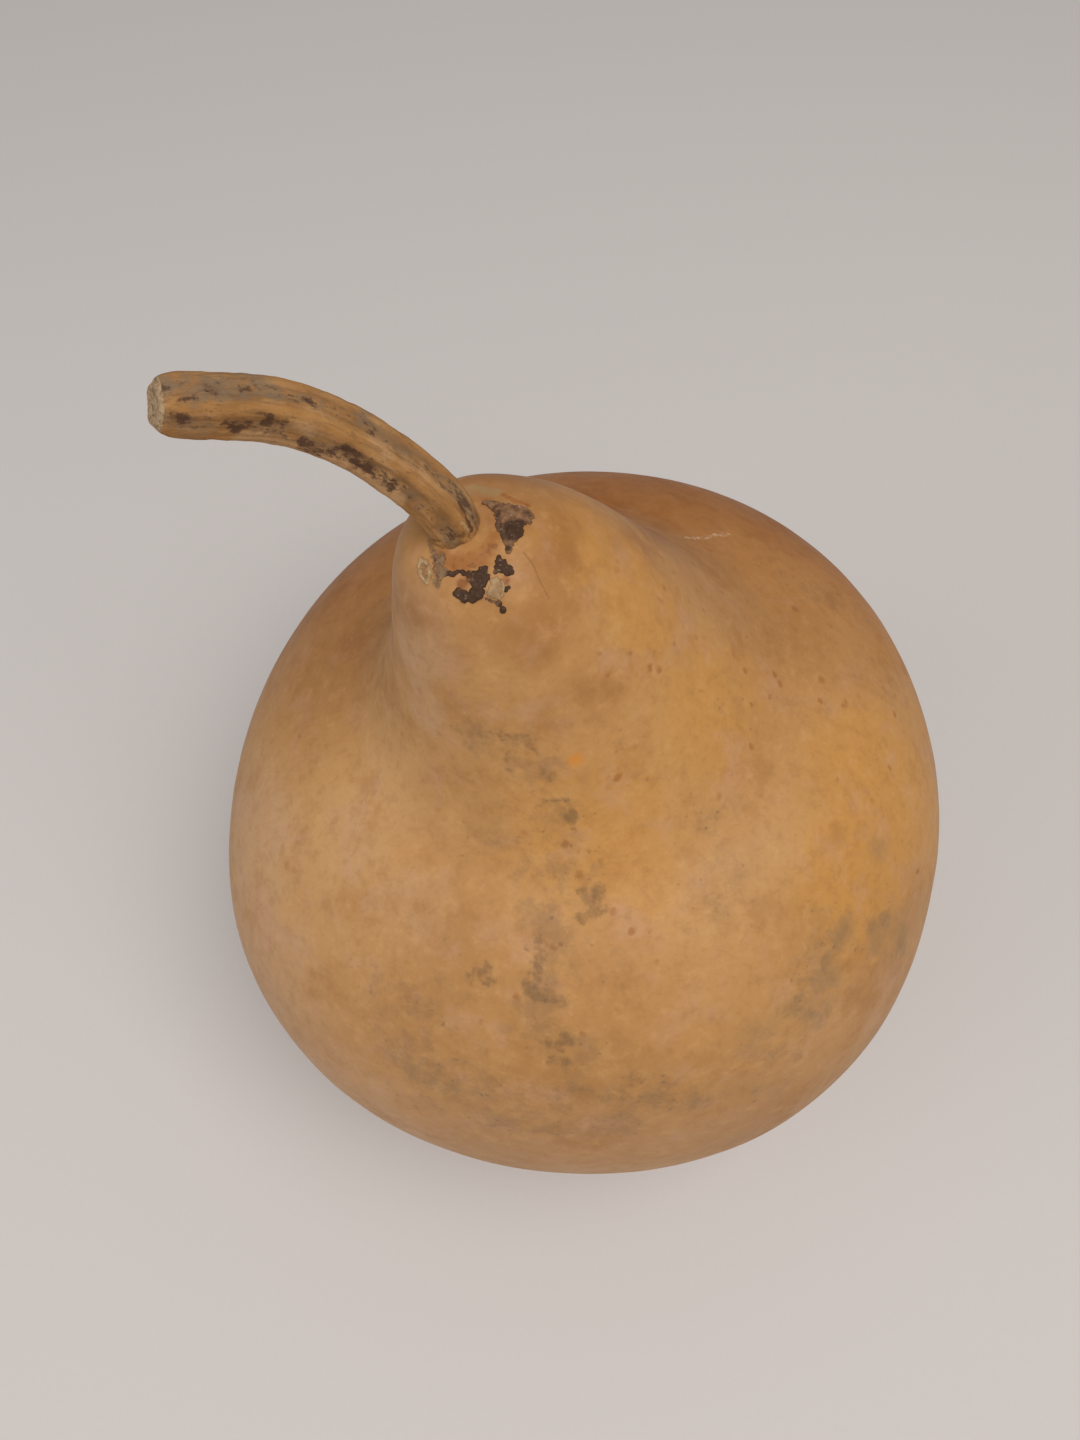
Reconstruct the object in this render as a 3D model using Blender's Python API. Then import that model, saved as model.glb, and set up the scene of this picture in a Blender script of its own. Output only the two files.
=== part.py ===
"""Calabash: a dried kettle gourd standing on the flat spot under its body, neck up.

Metres, +Z up, origin at the centre of the resting spot. The viewer stands at -Y.
The fruit is a turned outline whose neck then leans; the stem and the dry scabs
round it are placed from the same outline, so they follow when a size changes.
"""
import math

import bmesh
import bpy
from mathutils import Vector

# ---- body ----
BODY_RADIUS = 0.085         # at the widest ring
WIDEST_HEIGHT = 0.0728      # height of that ring above the resting spot
REST_RADIUS = 0.018         # flat spot that it stands on
BELLY_OUT = 0.0375          # how far the flat underside runs out before it curves up
BELLY_UP = 0.0412           # how far the lower side stays upright below the widest ring
UPPER_SIDE = 0.0446         # how far the upper side stays upright above the widest ring
SWELL = 0.0010              # the body is this much fuller on one side
SWELL_TURN = math.radians(215.0)

# ---- shoulder and neck ----
SHOULDER_RADIUS = 0.0460    # where the body's dome turns hollow into the neck
SHOULDER_HEIGHT = 0.1380
SHOULDER_SLOPE = math.radians(23.0)
SHOULDER_PULL = 0.0135      # length of the outline's handles at the shoulder
HOLLOW_PULL = 0.0150
NECK_RADIUS = 0.0163        # where the neck starts to round over
NECK_HEIGHT = 0.1858
NECK_SLOPE = math.radians(60.0)
NECK_PULL = 0.0155
TIP_HEIGHT = 0.1935         # top of the neck before it leans
SEAT_MARGIN = 0.0002        # the flat at the tip is this much wider than the stem's foot

# ---- lean of the neck ----
LEAN = math.radians(10.2)
LEAN_TURN = math.radians(183.0)
LEAN_FROM = 0.082           # heights between which the lean grows
LEAN_TO = 0.2036

# ---- stem ----
STEM_GAP = 0.0003           # clearance to the flat at the neck's tip
STEM_RADIUS = 0.0039        # mean radius along its length
STEM_BASE_RADIUS = 0.0049   # flare at the fruit
STEM_END_RADIUS = 0.0037
STEM_RIDGES = 5
RIDGE_DEPTH = 0.10          # share of the radius
# the stem's middle line from its base: left, towards the viewer, up
STEM_LINE = (
    (0.0000, 0.0000, 0.0000),
    (0.0118, -0.0016, 0.0136),
    (0.0236, 0.0006, 0.0254),
    (0.0382, 0.0071, 0.0329),
)
STEM_LINE_RADII = (STEM_BASE_RADIUS, STEM_RADIUS, STEM_RADIUS, STEM_END_RADIUS)

# ---- dry scabs on the skin round the stem's foot ----
SCAB_LIFT = 0.0003          # clearance to the skin
SCAB_GAP = 0.0003           # clearance between two that lie together
# half width round the neck, gap from the stem's foot, half depth down the neck, thickness, material
SCABS = {
    "crust_front": (0.0043, 0.0014, 0.0028, 0.0011, "crust"),
    "crust_side": (0.0056, 0.0007, 0.0027, 0.0012, "crust"),
    "crust_small": (0.0013, 0.0010, 0.0018, 0.0010, "crust"),
    "scale_front": (0.0017, 0.0036, 0.0018, 0.0008, "scale"),
    "scale_left": (0.0014, 0.0035, 0.0019, 0.0008, "scale"),
}
FIRST_SCAB_TURN = math.radians(258.0)
# every other scab lies beside one: its neighbour, the side (1.0 is anticlockwise from above), the gap
SCAB_BESIDE = {
    "scale_front": ("crust_front", 1.0, SCAB_GAP),
    "scale_left": ("crust_front", -1.0, SCAB_GAP),
    "crust_small": ("scale_front", 1.0, SCAB_GAP),
    "crust_side": ("crust_small", 1.0, 0.0016),
}
# the sliver lies under the front scale
SLIVER_HALF_WIDTH = 0.0015
SLIVER_HALF_DEPTH = 0.0006
SLIVER_THICKNESS = 0.0008

# ---- fineness ----
TURN_STEPS = 56
LOWER_STEPS = 10
UPPER_STEPS = 8
HOLLOW_STEPS = 8
TIP_STEPS = 5
CIRCLE_HANDLE = 0.5523      # handle of a quarter circle, for a radius of one


def clear_scene():
    for ob in list(bpy.data.objects):
        bpy.data.objects.remove(ob, do_unlink=True)


def material(name, color, roughness):
    mat = bpy.data.materials.new(name)
    mat.use_nodes = True
    shader = mat.node_tree.nodes["Principled BSDF"]
    shader.inputs["Base Color"].default_value = (*color, 1.0)
    shader.inputs["Roughness"].default_value = roughness
    shader.inputs["Metallic"].default_value = 0.0
    mat.diffuse_color = (*color, 1.0)
    return mat


def add_object(name, bm, mat):
    bmesh.ops.recalc_face_normals(bm, faces=bm.faces)
    if bm.calc_volume(signed=True) < 0.0:
        bmesh.ops.reverse_faces(bm, faces=bm.faces)
    mesh = bpy.data.meshes.new(name)
    bm.to_mesh(mesh)
    bm.free()
    mesh.materials.append(mat)
    ob = bpy.data.objects.new(name, mesh)
    bpy.context.scene.collection.objects.link(ob)
    return ob


def stem_foot():
    """Radius of the stem's foot out to its ridges."""
    return STEM_BASE_RADIUS * (1.0 + RIDGE_DEPTH)


def seat_radius():
    return stem_foot() + SEAT_MARGIN


def arc(start, handle_a, handle_b, end, steps):
    """Points along one cubic curve, without its first point."""
    points = []
    for i in range(1, steps + 1):
        t = i / steps
        s = 1.0 - t
        points.append(
            start * s ** 3 + handle_a * 3 * s * s * t + handle_b * 3 * s * t * t + end * t ** 3
        )
    return points


def outline():
    """Half section of the fruit (distance from the axis, height), from the rest spot to the seat."""
    rest = Vector((REST_RADIUS, 0.0))
    widest = Vector((BODY_RADIUS, WIDEST_HEIGHT))
    shoulder = Vector((SHOULDER_RADIUS, SHOULDER_HEIGHT))
    shoulder_way = Vector((-math.cos(SHOULDER_SLOPE), math.sin(SHOULDER_SLOPE)))
    neck = Vector((NECK_RADIUS, NECK_HEIGHT))
    neck_way = Vector((-math.cos(NECK_SLOPE), math.sin(NECK_SLOPE)))
    seat = Vector((seat_radius(), TIP_HEIGHT))
    points = [rest]
    points += arc(rest, rest + Vector((BELLY_OUT, 0.0)), widest - Vector((0.0, BELLY_UP)), widest, LOWER_STEPS)
    points += arc(widest, widest + Vector((0.0, UPPER_SIDE)), shoulder - shoulder_way * SHOULDER_PULL,
                  shoulder, UPPER_STEPS)
    points += arc(shoulder, shoulder + shoulder_way * HOLLOW_PULL, neck - neck_way * NECK_PULL,
                  neck, HOLLOW_STEPS)
    round_over = CIRCLE_HANDLE * (TIP_HEIGHT - NECK_HEIGHT)
    points += arc(neck, neck + neck_way * round_over,
                  seat + Vector((CIRCLE_HANDLE * (NECK_RADIUS - seat.x), 0.0)), seat, TIP_STEPS)
    return points


def swell(co):
    """Fuller on one side, most at the widest ring and nothing at the rest spot and the tip."""
    radius = math.hypot(co.x, co.y)
    if radius == 0.0 or co.z >= SHOULDER_HEIGHT:
        return co.copy()
    turn = math.atan2(co.y, co.x)
    amount = SWELL * math.cos(turn - SWELL_TURN) * math.sin(math.pi * co.z / SHOULDER_HEIGHT)
    grow = (radius + amount) / radius
    return Vector((co.x * grow, co.y * grow, co.z))


def lean(co):
    """Turn the neck about the body's middle, more and more with height."""
    share = min(max((co.z - LEAN_FROM) / (LEAN_TO - LEAN_FROM), 0.0), 1.0)
    angle = LEAN * share * share * (3.0 - 2.0 * share)
    way = Vector((math.cos(LEAN_TURN), math.sin(LEAN_TURN), 0.0))
    along = co.dot(way)
    height = co.z - WIDEST_HEIGHT
    leaned_along = along * math.cos(angle) + height * math.sin(angle)
    leaned_height = -along * math.sin(angle) + height * math.cos(angle)
    out = co + way * (leaned_along - along)
    out.z = WIDEST_HEIGHT + leaned_height
    return out


def grown(co):
    return lean(swell(co))


def seat_frame():
    """Middle of the leaned seat and the way that it faces."""
    middle = lean(Vector((0.0, 0.0, TIP_HEIGHT)))
    side_x = lean(Vector((seat_radius(), 0.0, TIP_HEIGHT))) - middle
    side_y = lean(Vector((0.0, seat_radius(), TIP_HEIGHT))) - middle
    return middle, side_x.cross(side_y).normalized()


def fruit(mat):
    bm = bmesh.new()
    verts = [bm.verts.new((p.x, 0.0, p.y)) for p in outline()]
    edges = [bm.edges.new(pair) for pair in zip(verts, verts[1:])]
    bmesh.ops.spin(bm, geom=verts + edges, cent=(0, 0, 0), axis=(0, 0, 1), angle=math.tau,
                   steps=TURN_STEPS, use_merge=True)
    bmesh.ops.remove_doubles(bm, verts=bm.verts, dist=0.00005)
    bmesh.ops.holes_fill(bm, edges=[e for e in bm.edges if e.is_boundary], sides=0)
    for v in bm.verts:
        v.co = grown(v.co)
    for f in bm.faces:
        f.smooth = len(f.verts) <= 4
    return add_object("fruit", bm, mat)


def ridged_section():
    """Closed outline of the stem, as long as one unit of radius, with a rounded ridge every fifth turn."""
    curve = bpy.data.curves.new("stem_section", "CURVE")
    curve.dimensions = "2D"
    spline = curve.splines.new("POLY")
    count = STEM_RIDGES * 6
    spline.points.add(count - 1)
    for i, point in enumerate(spline.points):
        turn = math.tau * i / count
        radius = 1.0 + RIDGE_DEPTH * math.cos(STEM_RIDGES * turn)
        point.co = (radius * math.cos(turn), radius * math.sin(turn), 0.0, 1.0)
    spline.use_cyclic_u = True
    return bpy.data.objects.new("stem_section", curve)


def stem(mat):
    seat, facing = seat_frame()
    start = seat + facing * STEM_GAP
    section = ridged_section()
    bpy.context.scene.collection.objects.link(section)
    curve = bpy.data.curves.new("stem_line", "CURVE")
    curve.dimensions = "3D"
    curve.twist_mode = "MINIMUM"
    curve.bevel_mode = "OBJECT"
    curve.bevel_object = section
    curve.use_fill_caps = True
    curve.resolution_u = 6
    curve.render_resolution_u = 6
    spline = curve.splines.new("BEZIER")
    spline.bezier_points.add(len(STEM_LINE) - 1)
    places = [start + Vector((-left, -near, up)) for left, near, up in STEM_LINE]
    for i, point in enumerate(spline.bezier_points):
        point.co = places[i]
        point.radius = STEM_LINE_RADII[i]
        before = places[max(i - 1, 0)]
        after = places[min(i + 1, len(places) - 1)]
        way = (after - before).normalized()
        if i == 0:
            way = facing
        point.handle_left_type = "FREE"
        point.handle_right_type = "FREE"
        point.handle_left = point.co - way * (point.co - before).length / 3.0
        point.handle_right = point.co + way * (after - point.co).length / 3.0
    line = bpy.data.objects.new("stem_line", curve)
    bpy.context.scene.collection.objects.link(line)
    bpy.context.view_layer.update()
    shape = bpy.data.meshes.new_from_object(line.evaluated_get(bpy.context.evaluated_depsgraph_get()))
    bm = bmesh.new()
    bm.from_mesh(shape)
    bmesh.ops.remove_doubles(bm, verts=bm.verts, dist=0.00002)
    for f in bm.faces:
        f.smooth = len(f.verts) <= 4
    for ob in (line, section):
        bpy.data.objects.remove(ob, do_unlink=True)
    bpy.data.meshes.remove(shape)
    return add_object("stem", bm, mat)


def skin_section(distance, height):
    """Half-section place at a distance along the skin from the tip, this far above the skin."""
    points = [Vector((0.0, TIP_HEIGHT))] + outline()[::-1]
    left = distance
    for a, b in zip(points, points[1:]):
        step = (b - a).length
        if left <= step:
            break
        left -= step
    way = (b - a).normalized()
    return a + way * left + Vector((-way.y, way.x)) * height


def skin_point(turn, distance, height):
    flat = skin_section(distance, height)
    return grown(Vector((math.cos(turn) * flat.x, math.sin(turn) * flat.x, flat.y)))


def scab_distance(name):
    """From the tip to the scab's middle, along the skin."""
    half_width, foot_gap, half_depth, thickness, slot = SCABS[name]
    return stem_foot() + foot_gap + half_depth


def scab_half_turn(name):
    return SCABS[name][0] / skin_section(scab_distance(name), 0.0).x


def scab_turn(name):
    if name not in SCAB_BESIDE:
        return FIRST_SCAB_TURN
    neighbour, side, gap = SCAB_BESIDE[name]
    gap_turn = gap / skin_section(scab_distance(name), 0.0).x
    return scab_turn(neighbour) + side * (scab_half_turn(neighbour) + gap_turn + scab_half_turn(name))


def lens(name, turn, half_turn, distance, half_depth, thickness, mat):
    """A flat lens of dry tissue that follows the skin."""
    bm = bmesh.new()
    bmesh.ops.create_icosphere(bm, subdivisions=3, radius=1.0)
    for v in bm.verts:
        across, along, up = v.co
        v.co = skin_point(
            turn + across * half_turn,
            distance + along * half_depth,
            SCAB_LIFT + thickness * (1.0 + up) / 2.0,
        )
    for f in bm.faces:
        f.smooth = True
    return add_object(name, bm, mat)


def scab(name, materials):
    half_width, foot_gap, half_depth, thickness, slot = SCABS[name]
    lens(name, scab_turn(name), scab_half_turn(name), scab_distance(name), half_depth, thickness,
         materials[slot])


def sliver(mat):
    host = "scale_front"
    distance = scab_distance(host) + SCABS[host][2] + SCAB_GAP + SLIVER_HALF_DEPTH
    half_turn = SLIVER_HALF_WIDTH / skin_section(distance, 0.0).x
    lens("sliver", scab_turn(host), half_turn, distance, SLIVER_HALF_DEPTH, SLIVER_THICKNESS, mat)


def main():
    clear_scene()
    materials = {
        "rind": material("rind", (0.45, 0.23, 0.08), 0.55),
        "stem": material("stem", (0.30, 0.16, 0.07), 0.80),
        "crust": material("crust", (0.045, 0.025, 0.018), 0.85),
        "scale": material("scale", (0.45, 0.33, 0.20), 0.80),
    }
    fruit(materials["rind"])
    stem(materials["stem"])
    for name in SCABS:
        scab(name, materials)
    sliver(materials["crust"])


main()
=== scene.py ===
import bpy, bmesh, math, random
from mathutils import Euler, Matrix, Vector, kdtree
from mathutils.geometry import interpolate_bezier


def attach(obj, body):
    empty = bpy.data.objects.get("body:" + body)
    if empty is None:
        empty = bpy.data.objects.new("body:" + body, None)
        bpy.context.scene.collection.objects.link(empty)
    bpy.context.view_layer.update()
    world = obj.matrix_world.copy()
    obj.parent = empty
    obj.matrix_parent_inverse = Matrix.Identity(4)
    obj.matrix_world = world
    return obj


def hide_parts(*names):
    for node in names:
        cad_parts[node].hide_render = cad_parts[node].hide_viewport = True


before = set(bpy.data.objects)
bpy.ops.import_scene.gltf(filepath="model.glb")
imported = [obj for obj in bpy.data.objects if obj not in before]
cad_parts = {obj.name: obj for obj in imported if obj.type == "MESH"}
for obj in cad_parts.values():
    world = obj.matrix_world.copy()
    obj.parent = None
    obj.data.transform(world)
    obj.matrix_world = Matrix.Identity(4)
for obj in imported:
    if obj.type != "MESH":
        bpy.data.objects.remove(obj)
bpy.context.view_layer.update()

scene = bpy.context.scene
mm = 0.001
print("frame loaded:", sorted(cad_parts))


def linearColor(text):  # sRGB hex to linear RGBA
    parts = [int(text[i:i + 2], 16) / 255 for i in (0, 2, 4)]
    return (*[p / 12.92 if p <= 0.04045 else ((p + 0.055) / 1.055) ** 2.4 for p in parts], 1.0)


def addNode(tree, kind, sockets=None, stops=None, **settings):
    node = tree.nodes.new("ShaderNode" + kind)
    for name, value in settings.items():
        setattr(node, name, value)
    for name, value in (sockets or {}).items():
        if isinstance(value, bpy.types.Node):
            value = value.outputs[0]
        if isinstance(value, bpy.types.NodeSocket):
            tree.links.new(value, node.inputs[name])
        else:
            node.inputs[name].default_value = value
    if stops:  # a ramp's places and colours
        ramp = node.color_ramp
        while len(ramp.elements) < len(stops):
            ramp.elements.new(0.5)
        for element, (place, text) in zip(ramp.elements, stops):
            element.position = place
            element.color = linearColor(text)
    return node


def newMaterial(name, sockets):
    material = bpy.data.materials.new(name)
    material.use_nodes = True
    tree = material.node_tree
    tree.nodes.clear()
    shader = addNode(tree, "BsdfPrincipled", sockets)
    addNode(tree, "OutputMaterial", {"Surface": shader})
    return material, tree, shader


def layer(tree, under, share, text, low=0.0, high=1.0, most=1.0, way="MIX"):  # lays a colour on by a mask
    mask = addNode(tree, "MapRange", {0: share, 1: low, 2: high, 3: 0.0, 4: most},
                   interpolation_type="SMOOTHSTEP")
    return addNode(tree, "Mix", {0: mask, 6: under, 7: linearColor(text)},
                   data_type="RGBA", blend_type=way).outputs[2]


def noisePattern(tree, vector, size, detail, roughness=0.5):  # its size in mm
    return addNode(tree, "TexNoise", {"Vector": vector, "Scale": 1 / (size * mm), "Detail": detail,
                                      "Roughness": roughness})


def markShare(tree, name, noise, spread, low, high):  # a painted mark, broken up by a noise
    mark = addNode(tree, "Attribute", attribute_name=name).outputs["Fac"]
    edge = addNode(tree, "Math", {0: noise, 1: spread, 2: -spread / 2}, operation="MULTIPLY_ADD")
    edge = addNode(tree, "Math", {0: edge, 1: mark}, operation="ADD")
    inside = addNode(tree, "MapRange", {0: edge, 1: low, 2: high}, interpolation_type="SMOOTHSTEP")
    near = addNode(tree, "MapRange", {0: mark, 1: 0.0, 2: 0.15})
    return addNode(tree, "Math", {0: inside, 1: near}, operation="MULTIPLY")


def beginEdit(piece):
    bpy.ops.object.select_all(action="DESELECT")
    piece.select_set(True)
    bpy.context.view_layer.objects.active = piece
    bpy.ops.object.mode_set(mode="EDIT")


def endEdit():
    bpy.ops.object.mode_set(mode="OBJECT")


def pick(piece, test, mode="VERT"):  # selects what passes the test, in edit mode
    bpy.ops.mesh.select_mode(type=mode)
    bpy.ops.mesh.select_all(action="DESELECT")
    mesh = bmesh.from_edit_mesh(piece.data)
    for part in {"VERT": mesh.verts, "EDGE": mesh.edges, "FACE": mesh.faces}[mode]:
        if test(part):
            part.select_set(True)
    mesh.select_flush_mode()
    bmesh.update_edit_mesh(piece.data)


def turnBy(angle, axis, centre):  # with no window the operator turns the other way
    bpy.ops.transform.rotate(value=-angle, orient_axis=axis, center_override=centre)


def applyModifier(piece, kind, settings):
    modifier = piece.modifiers.new(kind.lower(), kind)
    for name, value in settings.items():
        setattr(modifier, name, value)
    bpy.context.view_layer.objects.active = piece
    bpy.ops.object.modifier_apply(modifier=modifier.name)


def lumps(name, size, depth):  # a cloud texture for Displace
    texture = bpy.data.textures.new(name, "CLOUDS")
    texture.noise_scale = size * mm
    texture.noise_depth = depth
    return texture


# the gourd's own shape, in mm and degrees; pairs are (distance from the axis, height)
gourd = {
    "rest": 18.0, "bellyOut": 37.5, "bellyUp": 41.2,  # the flat it stands on, and how full the belly is
    "widest": (85.0, 72.8), "upperSide": 44.6,
    "shoulder": (46.0, 138.0), "shoulderSlope": 23.0, "shoulderPull": 13.5, "hollowPull": 15.0,
    "neck": (16.3, 185.8), "neckSlope": 60.0, "neckPull": 15.5,
    "seat": 5.6, "tip": 193.5, "roundOver": 0.5523,  # the flat under the stalk
    "lean": 10.2, "leanFrom": 82.0, "leanTo": 203.6, "leanTurn": 3.0,
    "swell": 1.0, "swellTurn": 212.0,  # a little fuller on one side
    "sides": 88, "rings": (18, 18, 14, 8), "closing": (0.7, 0.5, 0.4),
    "scarRings": [(0.9, 1.25), (1.9, 0.95), (2.9, 0.85), (3.8, 1.15),  # the blossom scar, underneath
                  (6.0, 1.2), (10.0, 0.7), (14.5, 0.15)],
}
swellWay = math.radians(gourd["swellTurn"])
swellAcross, swellBack = math.cos(swellWay), math.sin(swellWay)


def gourdOutline():
    rest = Vector((gourd["rest"], 0))
    widest = Vector(gourd["widest"])
    shoulder, neck = Vector(gourd["shoulder"]), Vector(gourd["neck"])
    seat = Vector((gourd["seat"], gourd["tip"]))
    slope, neckSlope = math.radians(gourd["shoulderSlope"]), math.radians(gourd["neckSlope"])
    way = Vector((-math.cos(slope), math.sin(slope)))
    neckWay = Vector((-math.cos(neckSlope), math.sin(neckSlope)))
    over = gourd["roundOver"]
    curves = [
        (rest, rest + Vector((gourd["bellyOut"], 0)), widest - Vector((0, gourd["bellyUp"])), widest),
        (widest, widest + Vector((0, gourd["upperSide"])), shoulder - way * gourd["shoulderPull"], shoulder),
        (shoulder, shoulder + way * gourd["hollowPull"], neck - neckWay * gourd["neckPull"], neck),
        (neck, neck + neckWay * over * (seat.y - neck.y), seat + Vector((over * (neck.x - seat.x), 0)), seat),
    ]
    points = [Vector(p) for p in gourd["scarRings"]] + [rest]
    for curve, steps in zip(curves, gourd["rings"]):
        points += [p.to_2d() for p in interpolate_bezier(*[p.to_3d() for p in curve], steps + 1)][1:]
    return points


def leanAngle(height):
    share = min(max((height - gourd["leanFrom"]) / (gourd["leanTo"] - gourd["leanFrom"]), 0), 1)
    return math.radians(gourd["lean"]) * share * share * (3 - 2 * share)


def swellShift(height):
    top = gourd["shoulder"][1]
    return gourd["swell"] * math.sin(math.pi * height / top) if 0 < height < top else 0.0


def leanPoint(point):  # towards -X, in mm
    angle = leanAngle(point.z)
    up = point.z - gourd["widest"][1]
    return Vector((point.x * math.cos(angle) - up * math.sin(angle), point.y,
                   gourd["widest"][1] + point.x * math.sin(angle) + up * math.cos(angle)))


outline = gourdOutline()


def skinAt(turn, height):  # a place on the skin, in metres
    side = outline[len(gourd["scarRings"]):]
    for low, high in zip(side, side[1:]):
        if low.y <= height <= high.y:
            share = (height - low.y) / max(high.y - low.y, 1e-6)
            radius = low.x + (high.x - low.x) * share
    turn = math.radians(turn - gourd["leanTurn"])
    place = leanPoint(Vector((math.cos(turn) * radius + swellAcross * swellShift(height),
                              math.sin(turn) * radius + swellBack * swellShift(height), height)))
    place.rotate(Euler((0, 0, math.radians(gourd["leanTurn"]))))
    return place * mm


def buildGourd():
    first = outline[0]
    pivot = Vector((0, 0, gourd["widest"][1])) * mm
    bpy.ops.object.select_all(action="DESELECT")
    bpy.ops.mesh.primitive_circle_add(vertices=gourd["sides"], radius=first.x * mm, fill_type="TRIFAN",
                                      location=(0, 0, first.y * mm))
    piece = bpy.context.object
    piece.name = "gourdSkin"
    bpy.ops.object.transform_apply()
    beginEdit(piece)
    pick(piece, lambda e: e.is_boundary, "EDGE")
    angle, shift, last = 0.0, 0.0, first
    for ring in outline[1:]:
        newShift = swellShift(ring.y)
        step = Vector((swellAcross * (newShift - shift), swellBack * (newShift - shift), ring.y - last.y))
        step.rotate(Euler((0, -angle, 0)))
        middle = Vector((swellAcross * newShift, swellBack * newShift, ring.y))
        up = middle.z - gourd["widest"][1]
        centre = Vector((middle.x * math.cos(angle) - up * math.sin(angle), middle.y,
                         gourd["widest"][1] + middle.x * math.sin(angle) + up * math.cos(angle)))
        bpy.ops.mesh.extrude_region_move(TRANSFORM_OT_translate={"value": step * mm})
        grow = ring.x / last.x
        bpy.ops.transform.resize(value=(grow, grow, grow), center_override=centre * mm)
        newAngle = leanAngle(ring.y)
        if newAngle != angle:
            turnBy(angle - newAngle, "Y", pivot)
        angle, shift, last = newAngle, newShift, ring
    for grow in gourd["closing"]:  # closes the tip under the stem
        centre = leanPoint(Vector((0, 0, last.y))) * mm
        bpy.ops.mesh.extrude_region_move()
        bpy.ops.transform.resize(value=(grow, grow, grow), center_override=centre)
    bpy.ops.mesh.merge(type="CENTER")
    bpy.ops.mesh.select_all(action="SELECT")
    turnBy(math.radians(gourd["leanTurn"]), "Z", (0, 0, 0))
    bpy.ops.mesh.remove_doubles(threshold=0.00001)
    bpy.ops.mesh.normals_make_consistent(inside=False)
    endEdit()
    return piece


gourdSkin = buildGourd()
applyModifier(gourdSkin, "SUBSURF", {"levels": 2, "render_levels": 2})
bpy.ops.object.shade_smooth()
print("gourd skin:", len(gourdSkin.data.polygons), "faces")

# slow hollows and fullness that a grown shell has; none where it stands
growing = {"away": 30.0, "from": 4.0, "still": 20.0,  # heights in mm
           "wholeBody": 50.0,  # a push that takes in more than this starts from the axis
           "collar": (0.55, 4.6, 3.4), "lumps": [(46.0, 0.6, 1), (14.0, 0.22, 2)],
           "pushes": [  # (turn, height) of the middle, mm moved, what moves with it, how far it fades out
               ((0, 73), (0.9, 2.0, 0.0), 95.0, 45.0), ((45, 100), (0.9, 0.9, 0.4), 12.0, 60.0),
               ((-160, 75), (-0.9, 0.2, 0.0), 12.0, 55.0), ((165, 112), (1.0, -0.5, 0.0), 12.0, 50.0),
               ((-140, 73), (-2.0, -1.6, 0.0), 12.0, 55.0), ((-50, 73), (1.1, -1.2, 0.0), 12.0, 45.0),
               ((0, 187), (-1.4, 0.0, -0.2), 3.0, 15.0), ((60, 190), (-0.4, -0.6, -0.3), 3.0, 12.0)]}
seatMiddle = skinAt(0, gourd["tip"]) * 0.5 + skinAt(180, gourd["tip"]) * 0.5
beginEdit(gourdSkin)
rise, near, reach = growing["collar"]  # the skin stands up a little round the stalk's foot
pick(gourdSkin, lambda v: (v.co - seatMiddle).length < near * mm)
bpy.ops.transform.translate(value=(0, 0, rise * mm), use_proportional_edit=True,
                            proportional_edit_falloff="SMOOTH", proportional_size=reach * mm)
for (turn, height), shift, near, reach in growing["pushes"]:
    middle = skinAt(turn, height) if near < growing["wholeBody"] else Vector((0, 0, height * mm))
    pick(gourdSkin, lambda v: (v.co - middle).length < near * mm and v.co.z > growing["still"] * mm)
    bpy.ops.transform.translate(value=Vector(shift) * mm, use_proportional_edit=True,
                                proportional_edit_falloff="SMOOTH", proportional_size=reach * mm)
endEdit()
free = gourdSkin.vertex_groups.new(name="free")
for vertex in gourdSkin.data.vertices:
    share = min(max((vertex.co.z / mm - growing["from"]) / growing["away"], 0), 1)
    if share > 0:
        free.add([vertex.index], share, "REPLACE")
for size, strength, depth in growing["lumps"]:
    applyModifier(gourdSkin, "DISPLACE", {"texture": lumps("growth", size, depth), "strength": strength * mm,
                                          "mid_level": 0.5, "vertex_group": "free"})

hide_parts("fruit")
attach(gourdSkin, "root")

across = (skinAt(0, gourd["tip"]) - skinAt(180, gourd["tip"])).normalized()
deep = (skinAt(90, gourd["tip"]) - skinAt(-90, gourd["tip"])).normalized()
seatUp = across.cross(deep).normalized()
bpy.context.view_layer.update()


def crownAt(right, back, above=8):  # the skin at mm right and back of the stem's foot
    start = seatMiddle + (across * right + deep * back + seatUp * above) * mm
    hit, place, normal, face = gourdSkin.ray_cast(start, -seatUp)
    return (place, normal) if hit else (start - seatUp * above * mm, seatUp)


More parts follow.
